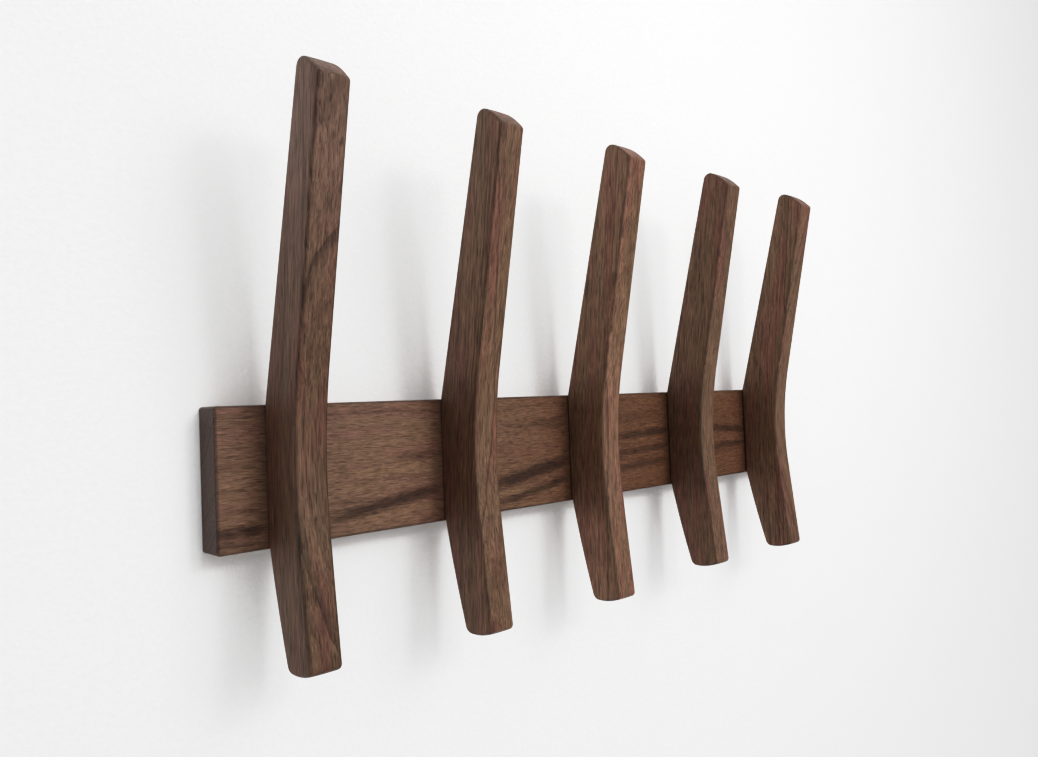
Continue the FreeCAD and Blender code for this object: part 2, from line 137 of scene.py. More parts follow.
class NodeBoard:
    """Adds nodes to a material and links them."""

    def __init__(self, name: str) -> None:
        """Start a material that holds only its output and a Principled shader.

        Args:
            name: The material's name.
        """
        self.material = bpy.data.materials.new(name)
        self.material.use_nodes = True
        self.tree = self.material.node_tree
        self.shader = self.tree.nodes["Principled BSDF"]

    def add(self, kind: str, inputs: dict[int | str, object] | None = None,
            **settings: object) -> bpy.types.Node:
        """Add a node, set its properties and then feed its inputs.

        Args:
            kind: The node's type, as Blender names it.
            inputs: What goes into its inputs, by place or by name.
            **settings: Its properties.

        Returns:
            The node.
        """
        node = self.tree.nodes.new(kind)
        for key, value in settings.items():
            setattr(node, key, value)
        for key, value in (inputs or {}).items():
            self.feed(node.inputs[key], value)
        return node

    def feed(self, socket: Socket, value: object) -> None:
        """Link a socket into an input, or set the input's own value.

        Args:
            socket: The input.
            value: Another node's output, or a plain value.
        """
        if isinstance(value, bpy.types.NodeSocket):
            self.tree.links.new(value, socket)
        else:
            socket.default_value = value

    def math(self, operation: str, *values: Number) -> Socket:
        """Work out a sum, product or other operation on numbers."""
        return self.add("ShaderNodeMath", dict(enumerate(values)), operation=operation).outputs[0]

    def step(self, value: Socket, low: float, high: float) -> Socket:
        """Rise smoothly from 0 at low to 1 at high, along t * t * (3 - 2 t); low may be the larger."""
        start, end = (0.0, 1.0) if low < high else (1.0, 0.0)
        return self.add("ShaderNodeMapRange", {
            "Value": value, "From Min": min(low, high), "From Max": max(low, high),
            "To Min": start, "To Max": end}, interpolation_type="SMOOTHSTEP").outputs["Result"]

    def vector(self, x: Number, y: Number, z: Number) -> Socket:
        """Join three numbers into a vector."""
        return self.add("ShaderNodeCombineXYZ", {0: x, 1: y, 2: z}).outputs[0]

    def parts(self, vector: Socket) -> Sequence[Socket]:
        """Split a vector or a colour into its three numbers."""
        return self.add("ShaderNodeSeparateXYZ", {0: vector}).outputs

    def mapped(self, vector: Socket, move: Sequence[float] = (0, 0, 0),
               turn: Sequence[float] = (0, 0, 0), scale: Sequence[float] = (1, 1, 1)) -> Socket:
        """Scale a vector, turn it by angles in radians and then move it."""
        return self.add("ShaderNodeMapping", {
            "Vector": vector, "Location": move, "Rotation": turn, "Scale": scale}).outputs[0]

    def noise(self, vector: Socket, detail: float = 2.0, roughness: float = 0.5,
              output: str = "Fac") -> Socket:
        """Read cloudy noise, about 0.5 on average, with features about one unit of the vector wide."""
        return self.add("ShaderNodeTexNoise", {
            "Vector": vector, "Scale": 1.0, "Detail": detail, "Roughness": roughness}).outputs[output]

    def cells(self, vector: Socket) -> Socket:
        """Split space into cells about one unit wide and give the cell's random colour."""
        return self.add("ShaderNodeTexVoronoi", {"Vector": vector, "Scale": 1.0}).outputs["Color"]

    def blend(self, factor: Number, low: object, high: object, mode: str = "MIX") -> Socket:
        """Mix two colours: only the low one at a factor of 0, the full effect of the high one at 1."""
        low, high = ((*colour, 1.0) if isinstance(colour, tuple) else colour for colour in (low, high))
        return self.add("ShaderNodeMix", {"Factor": factor, "A": low, "B": high},
                        data_type="RGBA", blend_type=mode).outputs["Result"]

    def bump(self, height: Socket, distance: float, strength: float) -> None:
        """Raise the shader's surface; a height of 1 stands out by the distance, in metres."""
        node = self.add("ShaderNodeBump", {"Height": height, "Distance": distance, "Strength": strength})
        self.feed(self.shader.inputs["Normal"], node.outputs[0])


@dataclass(frozen=True)
class Streak:
    """A long dark band in a board, in millimetres from the board's centre.

    Attributes:
        left: Place along the grain where the band begins.
        right: Place along the grain where it ends.
        height: Height of the band's middle line at its left end.
        rise: Height that the line gains from left to right.
        thickness: Distance from the middle line at which the band has faded out.
        depth: How much of the colour the band takes away, from 0 to 1.
    """

    left: float
    right: float
    height: float
    rise: float
    thickness: float
    depth: float

    def strength(self, board: NodeBoard, across: Socket, along: Socket, band: Socket) -> Socket:
        """Shade the band: strongest on its middle line, ragged at its sides, faded at its ends.

        Args:
            board: The material being made.
            across: Height in the board.
            along: Place along the grain.
            band: Long thin noise that frays the band's sides.

        Returns:
            The band's strength, from 0 to its depth.
        """
        slope = self.rise / (self.right - self.left)
        line = board.math("MULTIPLY_ADD", along, slope, self.height - slope * self.left)
        gap = board.math("ABSOLUTE", board.math("SUBTRACT", across, line))
        frayed = board.math("MULTIPLY_ADD", band, 4.0, board.math("SUBTRACT", gap, 2.0))
        core = board.step(frayed, self.thickness, 0.1 * self.thickness)
        fade = 0.35 * (self.right - self.left)
        core = board.math("MULTIPLY", core, board.step(along, self.left - 5, self.left + fade))
        core = board.math("MULTIPLY", core, board.step(along, self.right + 5, self.right - fade))
        return board.math("MULTIPLY", core, self.depth)


@dataclass(frozen=True)
class CornerShade:
    """A corner between two pieces, with the wood beside it darkened.

    It is painted shade: it stands for the soft shade beside the other piece that the lights
    alone leave too pale.

    Attributes:
        face: The object axis that the darkened faces look along, such as X for both ways and -Y
            for one.
        place: Middle of the other piece, along the grain.
        half: Half the other piece's width.
        before, after: How far the darkening reaches on the two sides.
        depth: How dark it gets, from 0 to 1.
    """

    face: str
    place: float
    half: float
    before: float
    after: float
    depth: float

    def strength(self, board: NodeBoard, along: Socket, facing: dict[str, Socket]) -> Socket:
        """Give the painted shade at a place: full beside the other piece and fading away from it.

        Args:
            board: The material being made.
            along: The place along the grain.
            facing: The surface's direction, by axis.

        Returns:
            The strength, from 0 to the corner's depth.
        """
        rising = board.step(along, self.place - self.half - self.before, self.place - self.half)
        falling = board.step(along, self.place + self.half + self.after, self.place + self.half)
        outward = board.math("MULTIPLY", facing[self.face[-1]], -1.0)
        if len(self.face) == 1:
            outward = board.math("ABSOLUTE", outward)
        turned = board.step(outward, 0.5, 0.95)
        both = board.math("MULTIPLY", board.math("POWER", rising, CORNER_SHADE_FALLOFF),
                          board.math("POWER", falling, CORNER_SHADE_FALLOFF))
        return board.math("MULTIPLY", both, board.math("MULTIPLY", turned, self.depth))


@dataclass(frozen=True)
class Walnut:
    """One piece's walnut: how it was cut from the log, its colours and its oiled surface.

    The wood is a solid figure: a log of nearly round rings about a pith line, so that a piece's
    faces agree at every edge. Lengths are in millimetres and counted from the centre.

    Attributes:
        name: The material's name.
        axis: The way the piece was cut.
        centre: Where the piece's own places are counted from, in the object's frame.
        lean_deg: Turn of the grain about the piece's two cross axes.
        pith: Where the middle of the log would lie, across the grain.
        ring: Mean width of a year's ring.
        seed: Shifts every random pattern.
        pale, middle, rosy, dark: Colours of the wood's light, usual, reddish and darkest parts.
        late: How much the darkest year lines take away.
        wave: How far the fibres wander from straight, in all.
        drift: Places along the grain between which the colour moves to the far colour.
        far: The colour that it moves to.
        end_colour, end_share: Colour of the end grain, and how far it shows.
        follow: How much the grain follows an upper arm that leans away from the wall.
        light: Multiplies the wood's lightness.
        streaks: Dark bands at chosen places.
        corners: Corners beside which shade is painted into the wood.
        grain_width, grain_length, grain_depth: Multiply the fine grain's width, length and
            contrast.
        square: Size of a square-edged board whose edges get painted shade, or None for a
            piece whose mesh marks its own edges.
    """

    name: str
    axis: GrainAxis
    centre: Triple
    lean_deg: tuple[float, float]
    pith: tuple[float, float]
    ring: float
    seed: float
    pale: Colour
    middle: Colour
    rosy: Colour
    dark: Colour
    late: float
    wave: float
    end_colour: Colour
    end_share: float
    drift: tuple[float, float] | None = None
    far: Colour = (0.0, 0.0, 0.0)
    follow: float = 0.0
    light: float = 1.0
    streaks: tuple[Streak, ...] = ()
    corners: tuple[CornerShade, ...] = ()
    grain_width: float = 1.0
    grain_length: float = 1.0
    grain_depth: float = 1.0
    square: Triple | None = None

    def material(self) -> bpy.types.Material:
        """Make the material: colour, gloss and the fine relief of the pores.

        Returns:
            The material.
        """
        board = NodeBoard(self.name)
        source = board.add("ShaderNodeTexCoord")
        local, wood = self.log_place(board, source.outputs["Object"])
        facing = dict(zip("XYZ", board.parts(source.outputs["Normal"])))
        end = board.step(board.math("ABSOLUTE", facing[self.axis.value[2]]), 0.70, 0.97)
        tone, late = self.rings(board, *board.parts(wood))
        band, fibre, pore = self.fibres(board, wood)
        arris = self.arris(board, local)

        colour = self.broad_colour(board, wood, facing, tone, band)
        colour = board.blend(board.math("MULTIPLY", end, self.end_share), colour, self.end_colour)
        lines = board.math("MULTIPLY", late, board.math("MULTIPLY_ADD", end, END_LINE_GAIN, self.late))
        shade = board.math("MULTIPLY_ADD", lines, -self.light, self.light)
        for part, contrast in ((band, BAND_CONTRAST), (fibre, FIBRE_CONTRAST)):
            depth = contrast * self.grain_depth
            shade = board.math("MULTIPLY", shade, board.math("MULTIPLY_ADD", part, depth, 1 - depth / 2))
        # the pores darken the wood, and the edges get painted shade
        for part, depth in ((pore, PORE_DARKENING), (arris, EDGE_PAINTED_SHADE)):
            shade = board.math("MULTIPLY", shade, board.math("MULTIPLY_ADD", part, -depth, 1.0))
        colour = board.blend(1.0, colour, board.vector(shade, shade, shade), "MULTIPLY")
        board.feed(board.shader.inputs["Base Color"], colour)

        rough = board.math("MULTIPLY_ADD", fibre, 0.14, OIL_ROUGHNESS)
        rough = board.math("MULTIPLY_ADD", pore, 0.12, rough)
        board.feed(board.shader.inputs["Roughness"], board.math("MULTIPLY_ADD", arris, -0.06, rough))
        board.shader.inputs["Specular IOR Level"].default_value = OIL_SPECULAR
        height = board.math("MULTIPLY_ADD", fibre, 0.35, board.math("MULTIPLY", pore, -1.0))
        board.bump(height, PORE_RELIEF, 0.7)
        return board.material

    def broad_colour(self, board: NodeBoard, wood: Socket, facing: dict[str, Socket],
                     tone: Socket, band: Socket) -> Socket:
        """Lay out the broad colours: usual and reddish wood, pale wood, then the dark parts.

        Args:
            board: The material being made.
            wood: The place in the log.
            facing: The surface's direction, by axis.
            tone: The rings' broad tone.
            band: Long thin noise that frays the dark bands.

        Returns:
            The colour, before the fine grain and the end grain.
        """
        across, _, along = board.parts(wood)
        darker = board.math("MULTIPLY", board.step(tone, 0.52, 0.80), 0.7)
        for streak in self.streaks:
            darker = board.math("MAXIMUM", darker, streak.strength(board, across, along, band))
        # painted shade beside corners
        for corner in self.corners:
            darker = board.math("MAXIMUM", darker, corner.strength(board, along, facing))
        hue = board.noise(board.mapped(wood, scale=(1 / 11, 1 / 11, 1 / 90),
                                       move=(2 * self.seed, 5.0, self.seed)), 1.0)
        colour = board.blend(board.step(hue, 0.42, 0.66), self.middle, self.rosy)
        if self.drift is not None:
            colour = board.blend(board.step(along, *self.drift), colour, self.far)
        colour = board.blend(board.step(tone, 0.46, 0.22), colour, self.pale)
        return board.blend(darker, colour, self.dark)

    def log_place(self, board: NodeBoard, place: Socket) -> tuple[Socket, Socket]:
        """Turn a place on the piece into a place in the log.

        Grain that follows a leaning arm is moved by follow times a soft ramp, half of the height
        plus the square root of the height squared plus the arm's start squared.

        Args:
            board: The material being made.
            place: Object coordinates, in metres.

        Returns:
            The place from the centre, moved as above, and the same with the grain's lean and
            wander.
        """
        centred = board.mapped(place, scale=TO_MILLIMETRES, move=[-value for value in self.centre])
        named = dict(zip("XYZ", board.parts(centred)))
        across, deep, along = (named[letter] for letter in self.axis.value)
        local = board.vector(across, deep, along)
        if self.follow:
            root = board.math("SQRT", board.math("MULTIPLY_ADD", along, along, ARM_START ** 2))
            ramp = board.math("MULTIPLY", board.math("ADD", along, root), 0.5 * self.follow)
            local = board.vector(across, board.math("ADD", deep, ramp), along)
        lean = (math.radians(self.lean_deg[0]), math.radians(self.lean_deg[1]), 0.0)
        straight_grain = board.mapped(local, turn=lean)
        wander = board.noise(board.mapped(straight_grain, scale=(1 / 24, 1 / 24, 1 / 17),
                                          move=(self.seed, 3.0, 7.0)), 2.0, 0.55, "Color")
        shift = board.mapped(wander, move=(-self.wave / 2, -self.wave / 2, 0.0),
                             scale=(self.wave, self.wave, 0.0))
        total = board.add("ShaderNodeVectorMath", {0: straight_grain, 1: shift}, operation="ADD")
        return local, total.outputs["Vector"]

    def rings(self, board: NodeBoard, across: Socket, deep: Socket,
              along: Socket) -> tuple[Socket, Socket]:
        """Draw the years' rings: a point's ring is its distance from the pith line.

        Slow noise bends the rings. Within a year the wood darkens softly and ends at a sharp
        line, and a few years' lines are much stronger than the rest.

        Args:
            board: The material being made.
            across, deep, along: The place in the log.

        Returns:
            The broad tone from 0 to 1, and the strength of the year line.
        """
        slow = board.noise(board.vector(board.math("MULTIPLY", across, 1 / SWAY_ACROSS),
                                        board.math("MULTIPLY_ADD", deep, 1 / SWAY_ACROSS, self.seed),
                                        board.math("MULTIPLY", along, 1 / SWAY_ALONG)),
                           1.5, output="Color")
        sway_a, sway_b, _ = board.parts(slow)
        pith_a, pith_b = (place + RING_SWAY / 2 for place in self.pith)
        bent_a = board.math("MULTIPLY_ADD", sway_a, RING_SWAY, board.math("SUBTRACT", across, pith_a))
        bent_b = board.math("MULTIPLY_ADD", sway_b, RING_SWAY, board.math("SUBTRACT", deep, pith_b))
        radius = board.math("SQRT", board.math("ADD", board.math("MULTIPLY", bent_a, bent_a),
                                               board.math("MULTIPLY", bent_b, bent_b)))
        uneven = board.noise(board.vector(board.math("MULTIPLY", radius, 0.11), self.seed, 0.0), 1.0)
        years = board.math("MULTIPLY_ADD", uneven, 2.4, board.math("DIVIDE", radius, self.ring))
        within = board.math("FRACT", years)
        late = board.math("MULTIPLY", board.step(within, 0.45, 0.95), board.step(within, 1.0, 0.95))
        count = board.math("ADD", board.math("FLOOR", years), self.seed)
        year = board.add("ShaderNodeTexWhiteNoise", {"W": count}, noise_dimensions="1D")
        strength = board.math("MULTIPLY_ADD", board.math("POWER", year.outputs["Value"], 2.5), 0.85, 0.15)
        place = board.vector(board.math("MULTIPLY", radius, 1 / 8), self.seed,
                             board.math("MULTIPLY", along, 1 / 240))
        return board.noise(place, 2.0, 0.55), board.math("MULTIPLY", late, strength)

    def strands(self, board: NodeBoard, wood: Socket, size: tuple[float, float],
                detail: float) -> Socket:
        """Read noise that is drawn out along the grain.

        Args:
            board: The material being made.
            wood: The place in the log.
            size: Width and length of the streaks, before this wood's own grain sizes.
            detail: How many finer layers are added.

        Returns:
            The noise.
        """
        width, length = size[0] * self.grain_width, size[1] * self.grain_length
        place = board.mapped(wood, move=(self.seed, -self.seed, 0.7 * self.seed),
                             scale=(1 / width, 1 / width, 1 / length))
        return board.noise(place, detail, 0.6)

    def fibres(self, board: NodeBoard, wood: Socket) -> tuple[Socket, Socket, Socket]:
        """Draw the fine grain: soft bands, fibres, and the long and short dashes of the pores.

        Args:
            board: The material being made.
            wood: The place in the log.

        Returns:
            The bands and the fibres, both about 0.5 on average, and the pores from 0 to 1.
        """
        band = self.strands(board, wood, BAND_SIZE, 2.5)
        fibre = self.strands(board, wood, FIBRE_SIZE, 2.0)
        long_pore = board.step(self.strands(board, wood, LONG_PORE_SIZE, 1.5), 0.53, 0.68)
        short_pore = board.step(self.strands(board, wood, SHORT_PORE_SIZE, 1.5), 0.56, 0.70)
        pore = board.math("MAXIMUM", long_pore, board.math("MULTIPLY", short_pore, 0.7))
        return band, fibre, pore

    def arris(self, board: NodeBoard, local: Socket) -> Socket:
        """Find the edges, where shade is painted into the wood.

        A shaped piece marks them on its mesh. On a square board a place is at an edge
        when it is near two of the board's three pairs of faces.

        Args:
            board: The material being made.
            local: The place from the board's centre.

        Returns:
            1 on an edge and 0 away from it.
        """
        if self.square is None:
            mark = board.add("ShaderNodeAttribute", attribute_name="arris")
            return board.math("POWER", mark.outputs["Fac"], EDGE_FALLOFF)
        near = []
        for value, size in zip(board.parts(local), self.square):
            gap = board.math("SUBTRACT", size / 2, board.math("ABSOLUTE", value))
            near.append(board.step(gap, *EDGE_REACH))
        pairs = [board.math("MULTIPLY", near[i], near[j]) for i, j in ((0, 1), (1, 2), (0, 2))]
        return board.math("MAXIMUM", board.math("MAXIMUM", pairs[0], pairs[1]), pairs[2])


def steel(finish: SteelFinish) -> bpy.types.Material:
    """Make plated steel: crystals of slightly different tone, fine scratches and a soft gloss.

    Args:
        finish: The steel's finish.

    Returns:
        The material.
    """
    board = NodeBoard(finish.name)
    place = board.mapped(board.add("ShaderNodeTexCoord").outputs["Object"], scale=TO_MILLIMETRES)
    crystal = board.cells(board.mapped(place, scale=(1 / finish.crystal_mm,) * 3))
    tone, _, _ = board.parts(crystal)
    scratch = board.noise(board.mapped(place, scale=(6.0, 6.0, 0.25), turn=(0.3, 0.2, 0.1)), 3.0)
    cloud = board.noise(board.mapped(place, scale=(0.2, 0.2, 0.2)), 3.0)
    light = board.math("MULTIPLY_ADD", tone, 0.14, 0.86)
    light = board.math("MULTIPLY", light, board.math("MULTIPLY_ADD", cloud, 0.3, 0.85))
    colour = board.blend(1.0, finish.colour, board.vector(light, light, light), "MULTIPLY")
    board.feed(board.shader.inputs["Base Color"], colour)
    rough = board.math("MULTIPLY_ADD", scratch, 0.22, finish.roughness)
    board.feed(board.shader.inputs["Roughness"], board.math("MULTIPLY_ADD", tone, 0.08, rough))
    board.shader.inputs["Metallic"].default_value = 1.0
    board.bump(scratch, 0.02 * MM, 0.4)
    return board.material


def plain(finish: PlainFinish) -> bpy.types.Material:
    """Make a studio surface: an even paint with a fine, soft raised grain.

    Args:
        finish: The surface's finish.

    Returns:
        The material.
    """
    board = NodeBoard(finish.name)
    place = board.mapped(board.add("ShaderNodeTexCoord").outputs["Object"], scale=TO_MILLIMETRES)
    grain = board.noise(board.mapped(place, scale=(1 / finish.grain_mm,) * 3), 4.0, 0.6)
    broad = board.noise(board.mapped(place, scale=(1 / 300,) * 3), 2.0)
    light = board.math("MULTIPLY_ADD", grain, 0.10, board.math("MULTIPLY_ADD", broad, 0.02, 0.94))
    colour = board.blend(1.0, finish.colour, board.vector(light, light, light), "MULTIPLY")
    board.feed(board.shader.inputs["Base Color"], colour)
    board.shader.inputs["Roughness"].default_value = finish.roughness
    board.bump(grain, finish.bump_mm * MM, 1.0)
    return board.material


def seen_from_the_room_only(material: bpy.types.Material) -> None:
    """Let the wall be looked through from behind, so that the rack's back can be seen.

    Args:
        material: The wall's paint, which is changed.
    """
    tree = material.node_tree
    output = next(node for node in tree.nodes if node.type == "OUTPUT_MATERIAL")
    shader = tree.nodes["Principled BSDF"]
    clear = tree.nodes.new("ShaderNodeBsdfTransparent")
    side = tree.nodes.new("ShaderNodeNewGeometry")
    either = tree.nodes.new("ShaderNodeMixShader")
    tree.links.new(side.outputs["Backfacing"], either.inputs[0])
    tree.links.new(shader.outputs[0], either.inputs[1])
    tree.links.new(clear.outputs[0], either.inputs[2])
    tree.links.new(either.outputs[0], output.inputs["Surface"])


def unit(vector: np.ndarray) -> np.ndarray:
    """Scale each row of an array of vectors to length one."""
    return vector / np.linalg.norm(vector, axis=-1, keepdims=True)


def straight(start: np.ndarray, end: np.ndarray, count: int) -> np.ndarray:
    """Give count evenly spaced points from start up to, and without, end."""
    share = np.arange(count)[:, None] / count
    return start + (end - start) * share


def bowed(start: np.ndarray, control: np.ndarray, end: np.ndarray, shares: np.ndarray) -> np.ndarray:
    """Give points on the quadratic curve that leaves start and reaches end aimed at control."""
    u = shares[:, None]
    return (1 - u) ** 2 * start + 2 * u * (1 - u) * control + u ** 2 * end


def rounded(before: np.ndarray, corner: np.ndarray, after: np.ndarray, radius: float,
            count: int) -> np.ndarray:
    """Round a corner with an arc that touches both of its sides.

    The arc's centre lies on the corner's bisector at radius / sin(half the corner's angle), and
    the points turn evenly about it from the first touching place to the second.

    Args:
        before: A point on the side that comes in.
        corner: The sharp corner.
        after: A point on the side that goes out.
        radius: The arc's radius.
        count: Number of points, both touching places included.

    Returns:
        An array of count points.
    """
    back, ahead = unit(before - corner), unit(after - corner)
    half = math.acos(float(np.clip(back @ ahead, -1, 1))) / 2
    centre = corner + unit(back + ahead) * radius / math.sin(half)
    first = unit(corner + back * radius / math.tan(half) - centre)
    last = unit(corner + ahead * radius / math.tan(half) - centre)
    turn = math.acos(float(np.clip(first @ last, -1, 1)))
    share = np.linspace(0, 1, count)[:, None]
    swing = np.sin((1 - share) * turn) * first + np.sin(share * turn) * last
    return centre + radius * swing / math.sin(turn)


def crown_control(start: np.ndarray, end: np.ndarray, radius: float, away: np.ndarray) -> np.ndarray:
    """Give the point where the tangents at the two ends of a crowned tip would meet.

    It lies off the middle of the chord by half the chord times tan(asin(half / radius)).

    Args:
        start, end: The tip's two corners.
        radius: The crown's radius.
        away: A direction that points out of the peg.

    Returns:
        The point.
    """
    chord = end - start
    half = float(np.linalg.norm(chord)) / 2
    across = np.array([-chord[1], chord[0]]) / (2 * half)
    across = across * np.sign(across @ away)
    return (start + end) / 2 + across * half * math.tan(math.asin(half / radius))


def make_object(name: str, points: np.ndarray, faces: Sequence[np.ndarray],
                material: bpy.types.Material) -> bpy.types.Object:
    """Make a smooth mesh object at the origin from arrays of points and of faces.

    Args:
        name: The object's name.
        points: Coordinates in metres, one row per point.
        faces: Arrays of triangles or quads, as rows of point numbers.
        material: What the piece is finished in.

    Returns:
        The object, with its faces turned outwards.
    """
    mesh = bpy.data.meshes.new(name)
    mesh.from_pydata(points.tolist(), [], [row for group in faces for row in group.tolist()])
    work = bmesh.new()
    work.from_mesh(mesh)
    bmesh.ops.recalc_face_normals(work, faces=work.faces)
    work.to_mesh(mesh)
    work.free()
    mesh.shade_smooth()
    mesh.materials.append(material)
    piece = bpy.data.objects.new(name, mesh)
    bpy.context.scene.collection.objects.link(piece)
    return piece


def ring_faces(rings: int, around: int) -> np.ndarray:
    """Number the quads between neighbouring closed rings of points.

    Args:
        rings: Number of rings.
        around: Number of points on each.

    Returns:
        Rows of four point numbers.
    """
    ring, step = np.meshgrid(np.arange(rings - 1), np.arange(around), indexing="ij")
    ahead = (step + 1) % around
    quads = (ring * around + step, ring * around + ahead,
             (ring + 1) * around + ahead, (ring + 1) * around + step)
    return np.stack(quads, -1).reshape(-1, 4)


@dataclass
class Peg:
    """One bent peg: a sawn blank with even thickness, crowned tips and softly rounded edges.

    Reaches are counted out from the rail's face and heights from the rail's mid height.
    """

    number: int
    place: float
    face: float
    rail_height: float
    width: float
    tip_height: float
    foot_height: float
    edge_round: float = 2.4 * MM
    seat_top_margin: float = 0.4 * MM
    seat_bottom_margin: float = 4.0 * MM
    top_back: tuple[float, float] = (50.1 * MM, 227.0 * MM)
    top_front: tuple[float, float] = (72.8 * MM, 211.0 * MM)
    top_crown: float = 62.0 * MM
    foot_back: tuple[float, float] = (19.1 * MM, -111.0 * MM)
    foot_front: tuple[float, float] = (45.0 * MM, -107.6 * MM)
    foot_crown: float = 66.0 * MM
    bend: tuple[float, float] = (31.9 * MM, 14.7 * MM)
    bend_radius: float = 295.0 * MM
    tip_round: float = 5.8 * MM
    top_front_round: float = 3.0 * MM
    front_foot_round: float = 3.6 * MM
    lower_back_bow: float = 1.7 * MM
    face_crown: float = 0.12 * MM

    def outline(self) -> np.ndarray:
        """Work out this peg's own outline: the common one, with its ends moved up or down.

        Returns:
            Rows of reach and height.
        """
        common = self.outline_with(0.0, 0.0)
        return self.outline_with(self.tip_height - common[:, 1].max(),
                                 self.foot_height - common[:, 1].min())

    def outline_with(self, head_rise: float, foot_rise: float) -> np.ndarray:
        """Work out a peg's outline from the side.

        It starts at the middle of the top crown, runs down the front, round the foot and up the
        back. Its two halves have equal numbers of points, so points across from each other pair.

        Args:
            head_rise: How far the top end's corners lie above their usual heights.
            foot_rise: How far the foot's corners lie above theirs.

        Returns:
            Rows of reach and height.
        """
        head, low = np.array([0.0, head_rise]), np.array([0.0, foot_rise])
        top_back, top_front = np.array(self.top_back) + head, np.array(self.top_front) + head
        foot_back, foot_front = np.array(self.foot_back) + low, np.array(self.foot_front) + low
        bend = np.array(self.bend)
        seat_top = np.array([0.0, self.rail_height / 2 - self.seat_top_margin])
        seat_foot = np.array([0.0, self.seat_bottom_margin - self.rail_height / 2])
        top = crown_control(top_back, top_front, self.top_crown, np.array([0.0, 1.0]))
        foot = crown_control(foot_back, foot_front, self.foot_crown, np.array([0.0, -1.0]))

        corner_a = rounded(top, top_front, bend, self.top_front_round, CORNER_POINTS)
        turn = rounded(top_front, bend, foot_front, self.bend_radius, BEND_POINTS)
        corner_b = rounded(bend, foot_front, foot, self.front_foot_round, CORNER_POINTS)
        corner_c = rounded(foot, foot_back, seat_foot, self.tip_round, CORNER_POINTS)
        corner_d = rounded(seat_top, top_back, top, self.tip_round, CORNER_POINTS)
        half = np.linspace(0.5, 1, CROWN_POINTS)
        rest = np.linspace(0, 0.5, CROWN_POINTS)
        swell = unit(np.array([-1.0, -0.25])) * self.lower_back_bow
        lower = bowed(corner_c[-1], (corner_c[-1] + seat_foot) / 2 + swell, seat_foot,
                      np.linspace(0, 1, LOWER_BACK_POINTS))
        return np.concatenate([
            bowed(corner_d[-1], top, corner_a[0], half)[:-1], corner_a[:-1],
            straight(corner_a[-1], turn[0], UPPER_FRONT_POINTS), turn[:-1],
            straight(turn[-1], corner_b[0], LOWER_FRONT_POINTS), corner_b[:-1],
            bowed(corner_b[-1], foot, corner_c[0], rest)[:-1],
            bowed(corner_b[-1], foot, corner_c[0], half)[:-1], corner_c[:-1],
            lower[:-1], straight(seat_foot, seat_top, SEAT_POINTS),
            straight(seat_top, corner_d[0], UPPER_BACK_POINTS), corner_d[:-1],
            bowed(corner_d[-1], top, corner_a[0], rest)[:-1]])

    def build(self, material: bpy.types.Material) -> bpy.types.Object:
        """Carry the outline across the peg's width, drawn in at both sides by a quarter round.

        Ring k lies at x = -w/2 + r - r cos(a) and is drawn in by r (1 - sin(a)), a going from 0
        to 90 degrees, then crosses the face with a slight crown and mirrors at the other side.

        Args:
            material: The peg's own walnut.

        Returns:
            The peg's object.
        """
        outline = self.outline()
        around = len(outline)
        tangent = unit(np.roll(outline, -1, 0) - np.roll(outline, 1, 0))
        outward = np.stack([-tangent[:, 1], tangent[:, 0]], -1)
        angle = np.linspace(0, math.pi / 2, EDGE_POINTS)
        flat_half = self.width / 2 - self.edge_round
        side_x = -self.width / 2 + self.edge_round * (1 - np.cos(angle))
        side_in = self.edge_round * (1 - np.sin(angle))
        middle_x = np.linspace(-flat_half, flat_half, FACE_POINTS)[1:-1]
        level = np.zeros_like(middle_x)
        x = np.concatenate([side_x, middle_x, -side_x[::-1]])
        drawn_in = np.concatenate([side_in, level, side_in[::-1]])
        drawn_in = drawn_in + self.face_crown * np.minimum(np.abs(x) / flat_half, 1.0) ** 2
        # marks the rounded edges, which the material darkens with painted shade
        arris = np.concatenate([np.sin(2 * angle), level, np.sin(2 * angle)[::-1]])

        flat = outline[None] - outward[None] * drawn_in[:, None, None]
        points = np.stack([
            np.broadcast_to(x[:, None] + self.place, flat.shape[:2]),
            self.face - flat[..., 0], flat[..., 1]], -1).reshape(-1, 3)
        last = (len(x) - 1) * around
        near = np.arange(1, around // 2 - 1)
        ladder = np.stack([near, near + 1, around - near - 1, around - near], -1)
        middle = around // 2
        tips = np.array([[0, 1, around - 1], [middle - 1, middle, middle + 1]])
        faces = [ring_faces(len(x), around), ladder, ladder + last, tips, tips + last]
        piece = make_object(f"walnut_peg_{self.number}", points, faces, material)
        mark = piece.data.attributes.new("arris", "FLOAT", "POINT")
        mark.data.foreach_set("value", np.repeat(arris, around).astype(np.float32))
        return piece


def flat_object(name: str, corners: Sequence[Sequence[float]], quads: Sequence[Sequence[int]],
                material: bpy.types.Material) -> bpy.types.Object:
    """Make a flat piece of the studio from its corners.

    Args:
        name: The object's name.
        corners: Coordinates in metres.
        quads: Rows of four corner numbers.
        material: What it is finished in.

    Returns:
        The object.
    """
    mesh = bpy.data.meshes.new(name)
    mesh.from_pydata(corners, [], quads)
    mesh.materials.append(material)
    piece = bpy.data.objects.new(name, mesh)
    bpy.context.scene.collection.objects.link(piece)
    return piece


@dataclass(frozen=True)
class Softbox:
    """A square soft light: where it hangs, how wide it is and its power in watts."""

    name: str
    place: Triple
    size: float
    power: float


